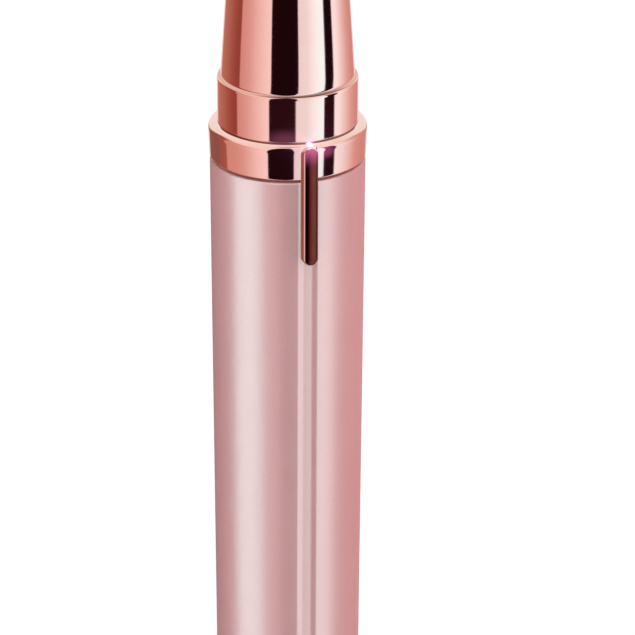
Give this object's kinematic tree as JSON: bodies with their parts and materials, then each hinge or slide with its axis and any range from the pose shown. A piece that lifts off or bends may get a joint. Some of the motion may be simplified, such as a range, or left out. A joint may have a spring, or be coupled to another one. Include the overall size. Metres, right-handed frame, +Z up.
{
  "type": "electric eyebrow trimmer",
  "caption": "Pen-shaped cordless trimmer for eyebrows: pull-off tapered cap over a rotary cutter head, slide switch with a small light, battery in the barrel.",
  "frame": {"origin": "centre of the flat base of the end cap", "axes": "+Z up the pen's axis towards the cap, -Y towards the slide switch, +X to the right seen from the switch side"},
  "size_m": [0.0164, 0.0174, 0.129],
  "materials": {
    "rose_chrome": "rose-gold mirror plating",
    "pearl_pink": "satin pearlescent dusty pink lacquer",
    "gold_plate": "bright gold plating",
    "lens_clear": "clear, lit from inside",
    "white_plastic": "moulded, plain",
    "black_plastic": "moulded, plain",
    "rubber_black": "soft, matt",
    "spring_steel": "drawn wire",
    "bright_steel": "bright",
    "core_steel": "laminated, dull",
    "magnet_grey": "sintered, dull",
    "contact_brass": "stamped sheet",
    "commutator_copper": "turned copper",
    "board_green": "solder mask",
    "wire_red": "soft insulation",
    "wire_black": "soft insulation",
    "led_white": "moulded, plain",
    "cell_wrap": "plain dark sleeve on a metal can"
  },
  "bodies": {
    "handle": {"barrel": "pearl_pink", "collar": "rose_chrome", "neck": "rose_chrome", "chassis_front": "white_plastic", "chassis_rear": "white_plastic", "chassis_screw_lower": "bright_steel", "chassis_screw_upper": "bright_steel", "positive_contact": "contact_brass", "negative_strip": "contact_brass", "circuit_board": "board_green", "resistor": "black_plastic", "switch_body": "bright_steel", "led": "led_white", "led_lens": "lens_clear", "wire_battery": "wire_red", "wire_motor_red": "wire_red", "wire_motor_black": "wire_black", "motor_can": "bright_steel", "motor_end_bell": "white_plastic", "motor_bush": "contact_brass", "magnet_left": "magnet_grey", "magnet_right": "magnet_grey", "brush_left": "contact_brass", "brush_right": "contact_brass"},
    "rotor": {"rotor_core": "core_steel", "commutator": "commutator_copper", "motor_shaft": "bright_steel", "drive_coupling": "white_plastic"},
    "head": {"head_base": "rose_chrome"},
    "blades": {"blade_carrier": "white_plastic", "blade_rotor": "bright_steel", "blade_spring": "spring_steel"},
    "guard": {"head_cover": "gold_plate"},
    "cap": {"cap_shell": "rose_chrome", "cap_liner": "white_plastic"},
    "slider": {"switch_button": "rose_chrome", "switch_carriage": "white_plastic", "switch_actuator": "black_plastic"},
    "battery": {"battery_cell": "cell_wrap", "battery_terminal": "bright_steel"},
    "base_cap": {"end_cap": "pearl_pink", "end_cap_o_ring": "rubber_black", "spring_plate": "contact_brass", "battery_spring": "spring_steel"}
  },
  "joints": [
    {"name": "cap_pull", "type": "slide", "parent": "handle", "child": "cap", "axis": [0, 0, 1], "range_m": [0, 0.045]},
    {"name": "switch_slide", "type": "slide", "parent": "handle", "child": "slider", "axis": [0, 0, -1], "range_m": [0, 0.003]},
    {"name": "rotor_spin", "type": "hinge", "parent": "handle", "child": "rotor", "pos_m": [0, 0, 0.0838], "axis": [0, 0, 1], "continuous": true},
    {"name": "head_twist", "type": "hinge", "parent": "handle", "child": "head", "pos_m": [0, 0, 0.111], "axis": [0, 0, 1], "range_deg": [0, 30]},
    {"name": "blade_spin", "type": "hinge", "parent": "head", "child": "blades", "pos_m": [0, 0, 0.113], "axis": [0, 0, 1], "continuous": true},
    {"name": "guard_lift", "type": "slide", "parent": "head", "child": "guard", "axis": [0, 0, 1], "range_m": [0, 0.006]},
    {"name": "battery_slide", "type": "slide", "parent": "handle", "child": "battery", "axis": [0, 0, -1], "range_m": [0, 0.05]},
    {"name": "end_cap_pull", "type": "slide", "parent": "handle", "child": "base_cap", "axis": [0, 0, -1], "range_m": [0, 0.06]}
  ],
  "couplings": [
    {"joint": "blade_spin", "follows": "rotor_spin", "ratio": 1},
    {"joint": "end_cap_pull", "follows": "battery_slide", "ratio": 1.2}
  ]
}
